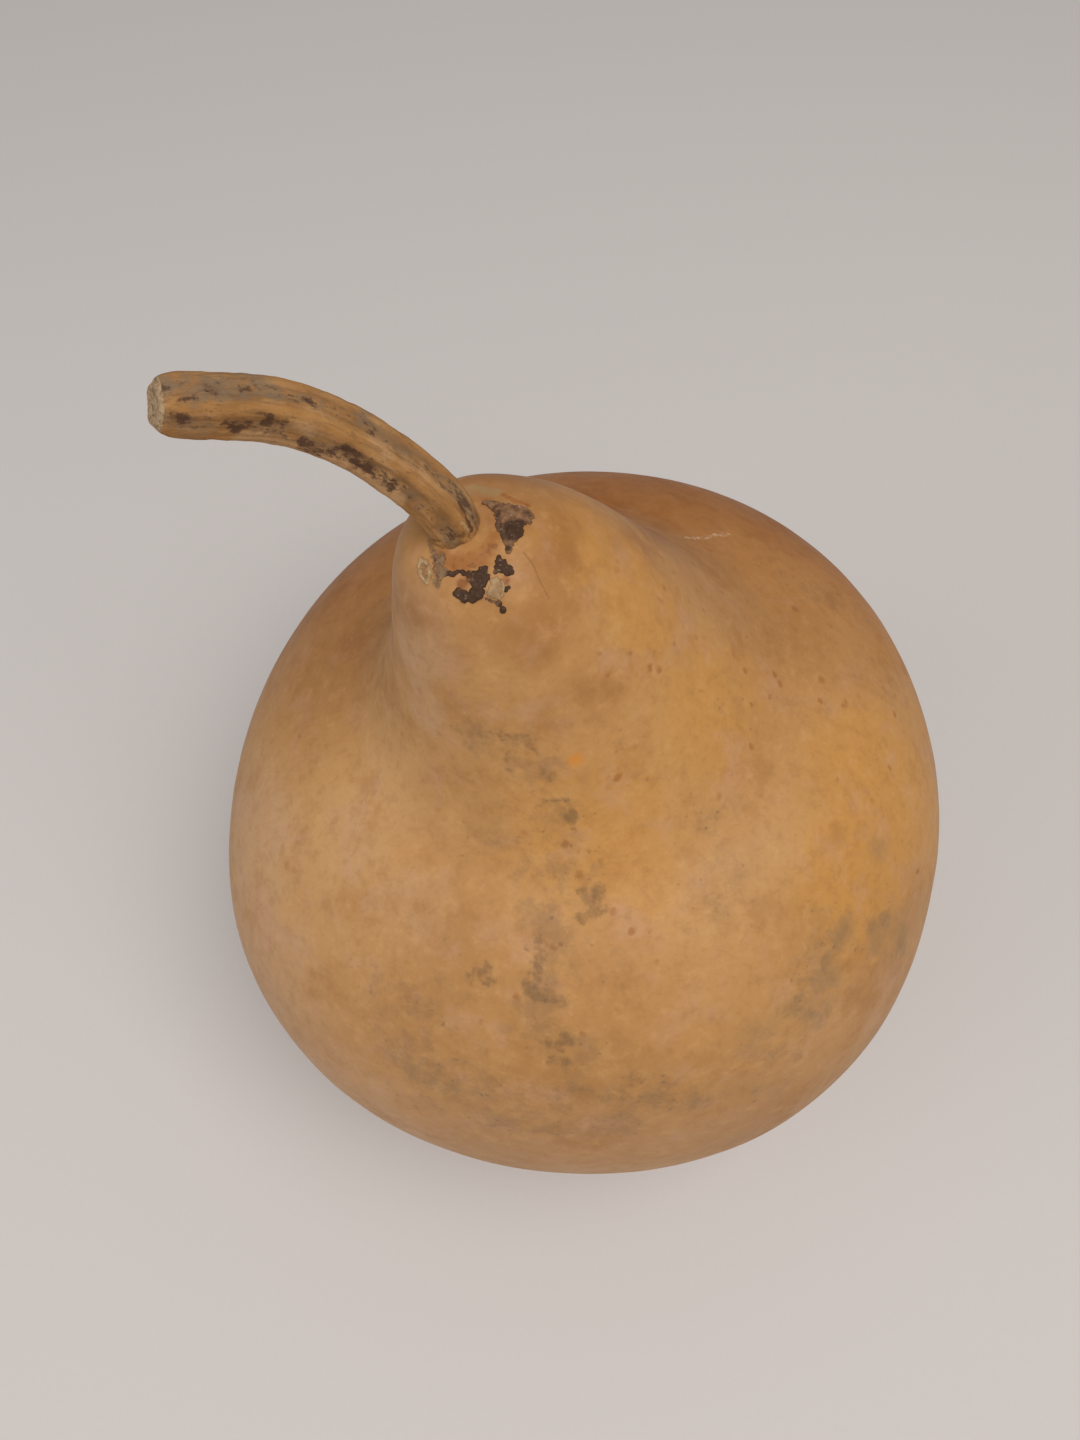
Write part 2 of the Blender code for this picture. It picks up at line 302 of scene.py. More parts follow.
# the marks on the rind, painted into attributes that its material reads
# each is a line of (turn, height) places, or (right, back) on the crown, with its width in mm and strength
marks = {
    "mould": [
        ([(-112, 166), (-107, 166.5), (-102, 167.3)], 1.3, 0.55),
        ([(-102, 167.3), (-94, 166.4), (-88, 165.8)], 1.5, 0.6),
        ([(-99, 163.8), (-101, 159.6)], 1.0, 0.5),
        ([(-88, 165.8), (-88.5, 161.4), (-87, 158)], 0.9, 0.5),
        ([(-68, 170.3), (-66, 169)], 1.0, 0.4),
        ([(-92.2, 153.6), (-88, 154.2), (-83, 153.8), (-83.7, 151.2)], 0.7, 0.7),
        ([(-85.2, 150.2), (-84.2, 150.6)], 1.8, 0.95),
        ([(-86.6, 139.9), (-82.3, 139.7), (-83, 137.9), (-87, 137.8)], 1.5, 0.75),
        ([(-85, 138.8)], 2.0, 0.5),
        ([(-99.3, 135.1)], 1.3, 1.1),
        ([(-96.4, 135.3), (-97.4, 132.7), (-98.3, 130.4), (-95.7, 129.8), (-92.3, 129.2)], 1.7, 0.75),
        ([(-96, 133), (-95, 131)], 1.6, 0.5),
        ([(-93.4, 125.6), (-91.7, 124.2), (-94, 123.2), (-96, 123.5)], 1.7, 0.8),
        ([(-95, 121.2), (-92.5, 120.8)], 1.6, 0.75),
        ([(-110, 130.1), (-108, 131.5), (-106.9, 132.4), (-106.1, 130.6)], 1.3, 0.75),
        ([(-83, 117)], 2.5, 0.6),
        ([(-90, 113.8), (-84, 112.8), (-77, 109.5)], 2.2, 0.46),
        ([(-114.5, 158.3)], 1.6, 0.5),
        ([(-57, 162.3), (-59, 160)], 1.1, 0.5),
    ],
    "smudge": [
        ([(-41.5, 123.4)], 4.4, 0.95), ([(-46, 122.4), (-48, 121)], 5.2, 0.9), ([(-47, 126)], 5.2, 0.55),
        ([(-38.3, 116.1), (-37.5, 118)], 5.5, 0.95), ([(-34.2, 114.3), (-31, 111)], 5.2, 0.8),
        ([(-31, 111), (-33, 106)], 3.9, 0.8),
        ([(-54, 118.7)], 5.2, 0.8), ([(-49.4, 114), (-52, 113)], 5.9, 0.75),
        ([(-60.7, 118.7), (-61, 114)], 7.8, 0.6), ([(-60, 106), (-66, 104)], 7.8, 0.5),
        ([(-27, 125)], 4.9, 0.75),
        ([(-102.4, 125.4)], 4.7, 0.7), ([(-115, 127.8)], 3.4, 0.5), ([(-116.6, 136.8)], 3.9, 0.45),
        ([(-108, 137.5)], 3.9, 0.35), ([(-81, 131.5)], 3.9, 0.4),
        ([(-117, 113), (-112, 111), (-108, 109)], 9.0, 0.65), ([(-106, 119.4)], 8.0, 0.45),
        ([(-92, 114), (-74, 108)], 6.5, 0.5),
        ([(24, 129)], 6.5, 0.5), ([(23, 141)], 5.2, 0.4), ([(-47, 135.5)], 7.0, 0.35),
        ([(-112.7, 147.6)], 7.0, 0.45), ([(-61.5, 136.4)], 8.0, 0.3),
    ],
    "dirt": [  # broad thin grime, broken up by the finer mottling
        ([(-112, 166), (-98, 165), (-88, 160)], 7.0, 0.8), ([(-90, 155), (-86, 145)], 8.0, 0.75),
        ([(-86, 142), (-95, 133), (-98, 127), (-92, 121)], 9.0, 0.8), ([(-84, 131), (-78, 136)], 8.0, 0.5),
        ([(-112, 133), (-106, 128), (-104, 122)], 11.0, 0.5),
        ([(-124, 122), (-116, 114), (-106, 112)], 15.0, 0.8),
        ([(-112, 106), (-98, 104), (-84, 102)], 9.0, 0.8), ([(-96, 113), (-84, 113), (-72, 108)], 8.0, 0.7),
        ([(-44, 124), (-50, 118), (-58, 114)], 12.0, 0.65), ([(-35, 115), (-33, 106)], 8.0, 0.6),
        ([(-60, 108), (-68, 102)], 12.0, 0.5), ([(-50, 140), (-56, 134)], 11.0, 0.6),
        ([(-112, 148), (-104, 143)], 10.0, 0.6), ([(-18, 148), (-10, 143)], 10.0, 0.5),
        ([(22, 132), (26, 120)], 16.0, 0.6), ([(-75, 186), (-90, 180)], 6.0, 0.5),
    ],
    "fleck": [
        ([(-23.3, 113.1)], 0.9, 1.2), ([(-2, 169.6)], 0.8, 0.8), ([(8, 146.4)], 1.0, 0.8),
        ([(11, 149.4)], 0.9, 0.7),
        ([(2, 136)], 1.2, 0.7), ([(-43, 175.5)], 0.8, 0.7), ([(-31.4, 171.7)], 0.8, 0.7),
        ([(-9, 154.5)], 0.9, 0.7),
        ([(-22, 156)], 0.9, 0.7), ([(-13, 145.4)], 1.0, 0.7), ([(-8, 142.5)], 0.9, 0.7),
        ([(-3, 133.7)], 1.2, 0.7),
        ([(-58, 159.8)], 0.9, 0.7), ([(-85.4, 141.8)], 1.5, 0.8), ([(-80.2, 142.9)], 1.3, 0.7),
        ([(-84, 148.6)], 1.0, 0.7), ([(-92.4, 153.0)], 1.0, 0.6), ([(-79.5, 148.9)], 0.9, 0.5),
    ],
    "ember": [([(-74.4, 160.4)], 3.8, 1.1), ([(-60, 163)], 1.8, 0.5), ([(-80, 144)], 2.0, 0.5)],
    "scuff": [
        ([(64, 151), (62, 150), (58, 146), (56, 144)], 0.8, 0.6),
        ([(53, 140), (51, 138), (48, 135)], 1.0, 0.75),
        ([(-141, 150)], 1.2, 0.8), ([(-131, 173)], 0.8, 0.6), ([(-23, 163)], 0.9, 0.6),
        ([(-115, 170)], 0.6, 0.7),
    ],
    "ochre": [
        ([(-75, 143), (-75, 155)], 22.0, 0.6), ([(-19, 132), (-22, 118)], 26.0, 0.9),
        ([(-4, 183), (-10, 172)], 13.0, 0.7), ([(-25, 155), (-5, 150)], 20.0, 0.7),
        ([(-48, 184)], 10.0, 0.5), ([(10, 120), (20, 100)], 30.0, 0.6),
    ],
    # pinkish tone, with painted sheen on the left flank and the neck's left, and painted highlight on the
    # brightest spots of the front
    "blush": [
        ([(-138, 184), (-140, 174), (-142, 162)], 8.0, 0.8), ([(-119, 134)], 17.0, 0.6),
        ([(-137, 140)], 22.0, 0.6),
        ([(-64, 128)], 14.0, 0.3), ([(-73, 118)], 16.0, 0.25), ([(-42, 134)], 12.0, 0.4),
        ([(-159, 119)], 28.0, 0.8),
        ([(-150, 90), (-120, 85)], 30.0, 0.8), ([(-45, 100)], 9.0, 0.7),
    ],
    "freckled": [
        ([(-20, 160), (10, 150), (30, 140)], 26.0, 1.0), ([(-10, 140), (0, 125)], 24.0, 0.8),
        ([(-80, 150), (-88, 130)], 16.0, 1.1), ([(-55, 165), (-78, 158)], 16.0, 1.0),
        ([(150, 140), (120, 120)], 40.0, 0.5),
    ],
    "dusk": [  # painted shade: darker, browner rind in the hollows beside the neck, on the neck's front, round the top of the neck and down the back
        ([(162, 138), (175, 146)], 14.0, 0.6), ([(-168, 155), (-176, 168)], 10.0, 0.5),
        ([(-115, 184), (-75, 184), (-45, 186)], 10.0, 0.8), ([(-100, 172), (-70, 170)], 12.0, 0.6),
        ([(60, 150), (90, 150), (120, 150)], 26.0, 0.9), ([(20, 172), (60, 165)], 12.0, 0.5),
        ([(-160, 188), (-100, 189), (-40, 189), (30, 189), (90, 189)], 11.0, 0.7),
    ],
}


def paint(piece, name, lines, finder, locate, loose=0.35):
    chance = random.Random(name)
    values = {}
    for places, width, strength in lines:
        spots = [locate(*place) for place in places]
        points = [spots[0]]
        for a, b in zip(spots, spots[1:]):
            steps = max(int((b - a).length / (width * mm * 0.4)), 1)
            points += [a.lerp(b, (i + 1) / steps) for i in range(steps)]
        for point in points:
            wander = Vector([chance.uniform(-1, 1) for axis in range(3)]) * width * mm * loose
            reach = width * mm * chance.uniform(1 - loose, 1 + loose)
            for co, index, far in finder.find_range(point + wander, reach):
                share = 1 - (far / reach) ** 2
                values[index] = max(values.get(index, 0.0), strength * share)
    attribute = piece.data.attributes.get(name) or piece.data.attributes.new(name, "FLOAT", "POINT")
    for index, value in values.items():
        attribute.data[index].value = max(attribute.data[index].value, value)


def makeFinder(places):
    finder = kdtree.KDTree(len(places))
    for index, place in enumerate(places):
        finder.insert(place, index)
    finder.balance()
    return finder


skinFinder = makeFinder([vertex.co.copy() for vertex in gourdSkin.data.vertices])
for name, lines in marks.items():
    paint(gourdSkin, name, lines, skinFinder,
          lambda turn, height: gourdSkin.closest_point_on_mesh(skinAt(turn, height))[1])
crownMarks = {
    "sore": [  # orange to red-brown tissue inside the ring of crusts
        ([(-1.6, -9.8), (-0.8, -9.4)], 1.3, 1.0),
        ([(5.2, -9.6)], 1.1, 1.1),
        ([(4.6, 6.2), (6.5, 4.9), (8.6, 4.1)], 0.7, 0.9),
        ([(-4.0, -5.6), (-1.0, -6.8), (2.5, -5.4), (3.9, -3.0)], 2.4, 0.85),
        ([(3.6, -1.0), (3.4, 2.0), (2.0, 5.0)], 2.2, 0.6),
    ],
    "scurf": [  # thin grey-brown scurf on the skin
        ([(-5.8, -4.0), (-5.2, -5.2), (-5.4, -7.0), (-5.6, -8.6)], 1.6, 1.0),
        ([(-4.4, -5.0), (-4.3, -6.5), (-4.3, -8.0)], 1.1, 0.9),
        ([(-6.6, -0.5), (-6.4, -2.5), (-6.0, -3.8)], 1.1, 0.8),
        ([(1.0, -6.6), (-1.5, -6.4), (-3.2, -5.4)], 0.8, 0.5),
        ([(5.2, -10.5), (5.5, -10.3)], 0.5, 1.0),
    ],
    "verdigris": [([(-0.8, 8.0), (1.2, 7.8), (2.8, 6.8)], 2.0, 0.8)],  # greenish grey patch behind the stalk
    "scratch": [([(8.0, -5.2), (9.2, -6.6), (9.9, -8.4), (11.0, -10.4)], 0.26, 0.9)],
}
for name, lines in crownMarks.items():
    paint(gourdSkin, name, lines, skinFinder, lambda right, back: crownAt(right, back)[0], 0.2)
print("marks painted")

# dried calabash rind: a hard waxy shell, tan where it cured, with a soft low sheen
driedRind, tree, shader = newMaterial("driedRind", {"IOR": 1.46, "Specular IOR Level": 0.3})
spot = addNode(tree, "TexCoord").outputs["Object"]
curing = noisePattern(tree, spot, 45, 3.0)
mottle = noisePattern(tree, spot, 12, 6.0, 0.66)
rosy = noisePattern(tree, spot, 9, 6.0, 0.64)
small = noisePattern(tree, spot, 3.5, 5.0, 0.68)
grime = noisePattern(tree, spot, 5, 6.0, 0.74)
ragged = noisePattern(tree, spot, 1.6, 4.0, 0.66)
# the rind's cells are finer than this; they are drawn coarser
grain = noisePattern(tree, spot, 1.2, 4.0, 0.65)
color = addNode(tree, "ValToRGB", {0: curing}, [(0.32, "AB7A46"), (0.50, "B6844D"), (0.68, "BF8F58")])
color = layer(tree, color, markShare(tree, "ochre", mottle, 0.7, 0.1, 0.9), "C48A42", most=0.7)
# pinkish tone, partly painted sheen and highlight
color = layer(tree, color, markShare(tree, "blush", rosy, 0.7, 0.1, 0.9), "C0966F", most=0.55)
# painted shade: the hollows, the neck's front and the back made darker and browner
color = layer(tree, color, markShare(tree, "dusk", mottle, 1.0, 0.1, 1.1), "95602F", most=0.65)
along = addNode(tree, "SeparateXYZ", {0: spot}).outputs
color = layer(tree, color, along[2], "AA7E56", 125 * mm, 85 * mm, 0.42)
color = layer(tree, color, mottle, "A06C38", 0.50, 0.70, 0.5)
color = layer(tree, color, rosy, "BC8D6C", 0.50, 0.70, 0.42)
color = layer(tree, color, small, "9C6C3C", 0.50, 0.68, 0.34)
color = layer(tree, color, small, "CB9A62", 0.48, 0.32, 0.3)
color = layer(tree, color, grain, "94622F", 0.45, 0.80, 0.25)
color = layer(tree, color, along[1], "DCC09A", -15 * mm, 60 * mm, 1.0, "MULTIPLY")  # painted shade: darker and browner towards the back, away from the light
frayed = noisePattern(tree, spot, 2, 3.0).outputs[1]
frayed = addNode(tree, "VectorMath", {0: frayed, 1: (1.4 * mm,) * 3, 2: spot}, operation="MULTIPLY_ADD")
pores = addNode(tree, "TexVoronoi", {"Vector": frayed, "Scale": 1 / (5 * mm)})
freckle = addNode(tree, "MapRange", {0: pores, 1: 0.05, 2: 0.26, 3: 1.0, 4: 0.0},
                  interpolation_type="SMOOTHSTEP")
often = addNode(tree, "Attribute", attribute_name="freckled").outputs["Fac"]
often = addNode(tree, "MapRange", {0: often, 1: 0.0, 2: 0.8, 3: 0.25, 4: 1.0})
sparse = addNode(tree, "MapRange", {0: rosy, 1: 0.46, 2: 0.56})
freckle = addNode(tree, "Math", {0: freckle, 1: often}, operation="MULTIPLY")
freckle = addNode(tree, "Math", {0: freckle, 1: sparse}, operation="MULTIPLY")
color = layer(tree, color, freckle, "955620", most=0.62)
fleck = addNode(tree, "Attribute", attribute_name="fleck").outputs["Fac"]
color = layer(tree, color, fleck, "85521F", 0.1, 0.9, 0.7)
dirtShare = markShare(tree, "dirt", grime, 1.9, 0.35, 1.15)
color = layer(tree, color, dirtShare, "866443", most=0.5)
dust = addNode(tree, "TexVoronoi", {"Vector": frayed, "Scale": 1 / (2.2 * mm)})
dust = addNode(tree, "MapRange", {0: dust, 1: 0.08, 2: 0.24, 3: 1.0, 4: 0.0})
dirty = addNode(tree, "Attribute", attribute_name="dirt").outputs["Fac"]
dirty = addNode(tree, "MapRange", {0: dirty, 1: 0.0, 2: 0.6, 3: 0.12, 4: 1.0})
clumps = addNode(tree, "MapRange", {0: grime, 1: 0.48, 2: 0.56})
dust = addNode(tree, "Math", {0: dust, 1: dirty}, operation="MULTIPLY")
dust = addNode(tree, "Math", {0: dust, 1: clumps}, operation="MULTIPLY")
color = layer(tree, color, dust, "725236", most=0.5)
color = layer(tree, color, markShare(tree, "ember", small, 0.6, 0.1, 1.0), "CC7F28", most=0.7)
mouldPatch = markShare(tree, "mould", ragged, 1.5, 0.05, 1.0)
color = layer(tree, color, mouldPatch, "6C5236", most=0.58)
color = layer(tree, color, markShare(tree, "smudge", grime, 1.3, 0.05, 1.15), "82684A", most=0.45)
color = layer(tree, color, markShare(tree, "scuff", ragged, 1.6, 0.4, 1.0), "DCC6A8", most=0.5)
color = layer(tree, color, markShare(tree, "sore", small, 1.0, 0.1, 1.0), "935420", most=0.62)
color = layer(tree, color, markShare(tree, "sore", ragged, 2.4, 0.7, 1.2), "724420", most=0.55)
color = layer(tree, color, markShare(tree, "verdigris", ragged, 1.4, 0.2, 1.0), "988058", most=0.6)
scurfPatch = markShare(tree, "scurf", ragged, 2.2, 0.3, 1.1)
color = layer(tree, color, scurfPatch, "6E563C", most=0.72)
fromScar = addNode(tree, "VectorMath", {0: spot}, operation="LENGTH").outputs["Value"]
fromScar = addNode(tree, "Math", {0: ragged, 1: 3 * mm, 2: fromScar}, operation="MULTIPLY_ADD")
color = layer(tree, color, fromScar, "8A6440", 17 * mm, 7 * mm, 0.35)  # rubbed browner where it stands
color = layer(tree, color, fromScar, "5E4630", 6.4 * mm, 5.2 * mm, 0.75)  # corky blossom scar
scratch = addNode(tree, "Attribute", attribute_name="scratch").outputs["Fac"]
color = layer(tree, color, scratch, "6B4320", 0.2, 0.9, 0.45)
tree.links.new(color, shader.inputs["Base Color"])
gloss = addNode(tree, "MapRange", {0: mottle, 1: 0.3, 2: 0.7, 3: 0.46, 4: 0.60})
gloss = addNode(tree, "Math", {0: mouldPatch, 1: 0.2, 2: gloss}, operation="MULTIPLY_ADD")
tree.links.new(gloss.outputs[0], shader.inputs["Roughness"])
height = addNode(tree, "Math", {0: grain, 1: 0.5, 2: 0.0}, operation="MULTIPLY_ADD")
height = addNode(tree, "Math", {0: scurfPatch, 1: 1.5, 2: height}, operation="MULTIPLY_ADD")
bump = addNode(tree, "Bump", {"Strength": 0.25, "Distance": 0.15 * mm, "Height": height})
tree.links.new(bump.outputs[0], shader.inputs["Normal"])
gourdSkin.data.materials.clear()
gourdSkin.data.materials.append(driedRind)
print("rind material done")

# the stalk: modelled straight along Z with its foot at the seat, then bent along its line; in mm
stalk = {
    # places from the seat's middle
    "line": [(-2.9, 0.2, 0.2), (-11.9, 1.4, 13.8), (-23.7, -0.9, 25.5), (-38.1, -7.0, 33.3)],
    "sides": 50, "ridges": 5, "ridge": 0.06, "hollow": 0.08,
    "ridgeTurn": 38.0, "twist": 0.28, "ridgesFrom": 2.0,  # degrees, degrees per mm, where the ridges start
    # height and radius, up from the foot
    "foot": [(-1.4, 4.3), (-0.7, 4.25), (-0.1, 4.25), (0.5, 4.25), (1.3, 4.2), (2.6, 4.2), (4.4, 4.3)],
    "tornTo": 1.5, "torn": 0.35, "lump": 2.4, "lumpDepth": 0.3,
    "shaft": 4.35, "end": 4.12, "rings": 28, "tipLength": 3.8,
    # how far below the end, and its share of the end's radius
    "tip": [(3.2, 0.99), (2.0, 0.95), (1.0, 0.88), (0.4, 0.79), (0.1, 0.70), (0.0, 0.60)],
    "cutDip": ((-0.12, 0.82), (-0.2, 0.7), (0.08, 0.5)), "cutFace": 0.55,
}


def stalkLine():
    places = [seatMiddle + Vector(p) * mm for p in stalk["line"]]
    data = bpy.data.curves.new("stalkLine", "CURVE")
    data.dimensions = "3D"
    data.twist_mode = "MINIMUM"
    data.resolution_u = 24
    spline = data.splines.new("BEZIER")
    spline.bezier_points.add(len(places) - 1)
    for i, point in enumerate(spline.bezier_points):
        before, after = places[max(i - 1, 0)], places[min(i + 1, len(places) - 1)]
        way = seatUp if i == 0 else (after - before).normalized()
        point.handle_left_type = point.handle_right_type = "FREE"
        point.co = places[i]
        point.handle_left = places[i] - way * (places[i] - before).length / 3
        point.handle_right = places[i] + way * (after - places[i]).length / 3
    line = bpy.data.objects.new("stalkLine", data)
    scene.collection.objects.link(line)
    return line, spline.calc_length()


def ridgeShare(place):  # 1 on a ridge, -1 in a hollow
    ridgeTurn = stalk["ridgeTurn"] + stalk["twist"] * place.z / mm
    return math.cos(stalk["ridges"] * (math.atan2(place.y, place.x) - math.radians(ridgeTurn)))


# lines of (turn, mm along from the foot), with width and strength as on the rind
stalkMarks = {
    "blotch": [
        ([(-6, 31.5), (-10, 29), (-4, 26)], 1.3, 0.9), ([(21, 25.5), (10, 23.4), (5, 21)], 1.7, 1.0),
        ([(0, 24), (-2, 20), (-5, 17)], 1.1, 0.8), ([(-6, 16), (-8, 14.7)], 1.3, 1.0),
        ([(-2, 13.4), (0, 11)], 1.7, 0.75), ([(22, 13.5)], 1.2, 0.5),
        ([(22, 43), (9, 41), (14, 39), (29, 37.5), (27, 35)], 1.2, 1.0), ([(40, 39), (36, 36)], 0.8, 0.7),
        ([(31, 49.8), (28, 48.2)], 1.3, 1.2), ([(-4, 51), (10, 50.6)], 0.9, 1.1), ([(20, 46.5)], 0.8, 0.6),
        ([(85, 44.3)], 1.2, 0.8), ([(83, 40.8), (88, 39.5)], 1.1, 0.8), ([(81, 33), (80, 31)], 1.3, 0.8),
        ([(92, 36), (88, 35)], 0.9, 0.7), ([(76, 23.4), (70, 22)], 1.2, 0.5), ([(70, 46.5)], 0.9, 0.6),
        ([(54, 16.4), (52, 14.8)], 0.9, 0.5), ([(60, 49.5), (64, 46.5)], 0.5, 0.9), ([(76, 11.5)], 0.7, 0.6),
        ([(150, 40), (160, 34), (155, 28)], 1.4, 0.8), ([(-80, 36), (-75, 30)], 1.3, 0.8),
        ([(-150, 20), (-145, 12)], 1.4, 0.7), ([(140, 18), (135, 9)], 1.2, 0.6),
        ([(-85, 16), (-80, 8)], 1.2, 0.7), ([(-150, 45), (-155, 38)], 1.3, 0.8),
    ],
    "torn": [  # dark cracks and red-brown stain where the foot tore from the crown
        ([(66, 5.4), (58, 3.6), (54, 2.2), (50, 0.8)], 0.5, 1.1), ([(76, 4.6), (72, 3.2)], 0.35, 1.0),
        ([(-4, 2.0), (14, 1.7), (30, 1.2), (38, 0.4)], 0.8, 0.8),
        ([(-25, 1.2), (-45, 1.0), (-70, 0.8)], 0.6, 0.7),
        ([(110, 1.0), (150, 0.8), (-170, 0.8), (-120, 0.8)], 0.6, 0.7),
    ],
    "splinter": [([(40, 3.2), (42, 2.2), (44, 1.4)], 0.6, 1.0)],
    "smooth": [([(-27, 12), (-28, 20), (-29, 31), (-24, 40)], 2.4, 0.9), ([(60, 22), (62, 12)], 2.0, 0.6),
               ([(20, 33), (24, 30)], 1.8, 0.7)],
    "grey": [([(85, 51), (88, 44), (90, 36)], 3.4, 1.0), ([(100, 30), (95, 24)], 2.4, 0.6),
             ([(5, 49), (12, 41)], 2.0, 0.7), ([(15, 19), (20, 15)], 1.8, 0.5),
             ([(170, 50), (170, 30)], 3.4, 0.6),
             ([(-100, 50), (-100, 35)], 3.0, 0.6)],
}


def stalkPlace(turn, along):
    turn = math.radians(turn)
    return Vector((math.cos(turn) * stalk["shaft"], math.sin(turn) * stalk["shaft"], along)) * mm


def buildStalk():
    line, length = stalkLine()
    low, radius = stalk["foot"][0]
    bpy.ops.object.select_all(action="DESELECT")
    bpy.ops.mesh.primitive_circle_add(vertices=stalk["sides"], radius=radius * mm, fill_type="TRIFAN",
                                      location=(0, 0, low * mm))
    piece = bpy.context.object
    piece.name = "dryStalk"
    bpy.ops.object.transform_apply()
    beginEdit(piece)
    pick(piece, lambda e: e.is_boundary, "EDGE")
    stations = list(stalk["foot"][1:])
    top = length / mm
    start = stations[-1][0]
    for i in range(1, stalk["rings"] + 1):
        share = i / stalk["rings"]
        stations.append((start + (top - stalk["tipLength"] - start) * share,
                         stalk["shaft"] + (stalk["end"] - stalk["shaft"]) * share))
    stations += [(top - below, stalk["end"] * share) for below, share in stalk["tip"]]
    lastHeight, lastRadius = low, radius
    for height, ringRadius in stations:
        bpy.ops.mesh.extrude_region_move(TRANSFORM_OT_translate={"value": (0, 0, (height - lastHeight) * mm)})
        grow = ringRadius / lastRadius
        bpy.ops.transform.resize(value=(grow, grow, 1), center_override=(0, 0, height * mm))
        lastHeight, lastRadius = height, ringRadius
    for drop, grow in stalk["cutDip"]:  # the cut face dips a little round its pith
        bpy.ops.mesh.extrude_region_move(TRANSFORM_OT_translate={"value": (0, 0, drop * mm)})
        lastHeight += drop
        bpy.ops.transform.resize(value=(grow, grow, 1), center_override=(0, 0, lastHeight * mm))
    bpy.ops.mesh.merge(type="CENTER")
    # the hollows between the ridges go in, the ridges out
    pick(piece, lambda v: v.co.z > stalk["ridgesFrom"] * mm and ridgeShare(v.co) < -0.35)
    grow = 1 - stalk["hollow"]
    bpy.ops.transform.resize(value=(grow, grow, 1), center_override=(0, 0, 0))
    pick(piece, lambda v: v.co.z > stalk["ridgesFrom"] * mm and ridgeShare(v.co) > 0.6)
    grow = 1 + stalk["ridge"]
    bpy.ops.transform.resize(value=(grow, grow, 1), center_override=(0, 0, 0))
    pick(piece, lambda v: v.co.z < stalk["tornTo"] * mm)  # the torn foot
    bpy.ops.transform.vertex_random(offset=stalk["torn"] * mm, seed=4)
    bpy.ops.mesh.select_all(action="SELECT")
    bpy.ops.mesh.normals_make_consistent(inside=False)
    endEdit()
    applyModifier(piece, "SUBSURF", {"levels": 2, "render_levels": 2})
    places = [vertex.co.copy() for vertex in piece.data.vertices]
    straight = piece.data.attributes.new("straight", "FLOAT_VECTOR", "POINT")  # the place before bending
    for index, place in enumerate(places):
        straight.data[index].vector = place
    crest = piece.data.attributes.new("crest", "FLOAT", "POINT")
    for index, place in enumerate(places):
        crest.data[index].value = (1 + ridgeShare(place)) / 2
    finder = makeFinder(places)
    for name, lines in stalkMarks.items():
        paint(piece, name, lines, finder, stalkPlace, 0.3)
    applyModifier(piece, "DISPLACE", {"texture": lumps("stalkLumps", stalk["lump"], 3),
                                      "strength": stalk["lumpDepth"] * mm, "mid_level": 0.5})
    applyModifier(piece, "CURVE", {"object": line, "deform_axis": "POS_Z"})
    bpy.data.objects.remove(line, do_unlink=True)
    bpy.ops.object.select_all(action="DESELECT")
    piece.select_set(True)
    bpy.ops.object.shade_smooth()
    return piece


dryStalk = buildStalk()
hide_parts("stem")
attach(dryStalk, "root")
print("stalk:", len(dryStalk.data.polygons), "faces")

# dry cucurbit stalk: corky, fibrous and quite matt; tan ridges, ashen hollows with dark blotches
dryFibre, tree, shader = newMaterial("dryFibre", {"Roughness": 0.7, "IOR": 1.45, "Specular IOR Level": 0.25})
straight = addNode(tree, "Attribute", attribute_name="straight").outputs["Vector"]
drawn = addNode(tree, "Mapping", {"Vector": straight, "Scale": (1, 1, 0.12)})  # fibres run along the stalk
halfDrawn = addNode(tree, "Mapping", {"Vector": straight, "Scale": (1, 1, 0.55)})
fibre = noisePattern(tree, drawn, 0.7, 4.0, 0.6)
patch = noisePattern(tree, halfDrawn, 3.6, 5.0, 0.65)
spots = noisePattern(tree, halfDrawn, 0.9, 5.0, 0.75)
ashen = noisePattern(tree, halfDrawn, 2.5, 5.0, 0.7)
crest = addNode(tree, "Attribute", attribute_name="crest").outputs["Fac"]
hollow = addNode(tree, "MapRange", {0: crest, 1: 0.15, 2: 0.65, 3: 1.0, 4: 0.0},
                 interpolation_type="SMOOTHSTEP")
color = addNode(tree, "ValToRGB", {0: patch}, [(0.36, "80582F"), (0.50, "9C6E40"), (0.62, "AD8254")])
ashShare = addNode(tree, "MapRange", {0: ashen, 1: 0.40, 2: 0.58})
ashShare = addNode(tree, "Math", {0: ashShare, 1: hollow}, operation="MULTIPLY")
color = layer(tree, color, ashShare, "7C6246", most=0.7)
color = layer(tree, color, crest, "AC7A42", 0.6, 0.95, 0.5)
color = layer(tree, color, markShare(tree, "smooth", patch, 0.8, 0.1, 0.9), "B58C62", most=0.7)
color = layer(tree, color, markShare(tree, "grey", ashen, 2.6, 0.2, 1.2), "7C664E", most=0.75)
color = layer(tree, color, fibre, "74502E", 0.46, 0.72, 0.58)
color = layer(tree, color, spots, "5E4128", 0.54, 0.68, 0.55)
dots = addNode(tree, "MapRange", {0: patch, 1: 0.46, 2: 0.60})
dots = addNode(tree, "Math", {0: dots, 1: hollow}, operation="MULTIPLY")
speck = addNode(tree, "MapRange", {0: spots, 1: 0.46, 2: 0.58})
dots = addNode(tree, "Math", {0: dots, 1: speck}, operation="MULTIPLY")
color = layer(tree, color, dots, "4E3626", most=0.75)
color = layer(tree, color, markShare(tree, "blotch", ashen, 1.6, 0.2, 1.2), "6A4C36", most=0.6)
color = layer(tree, color, markShare(tree, "blotch", spots, 2.8, 0.35, 1.0), "452C1D", most=0.8)
color = layer(tree, color, markShare(tree, "torn", spots, 1.8, 0.2, 1.0), "573620", most=0.85)
color = layer(tree, color, markShare(tree, "splinter", fibre, 1.0, 0.3, 1.0), "B8966A", most=0.8)
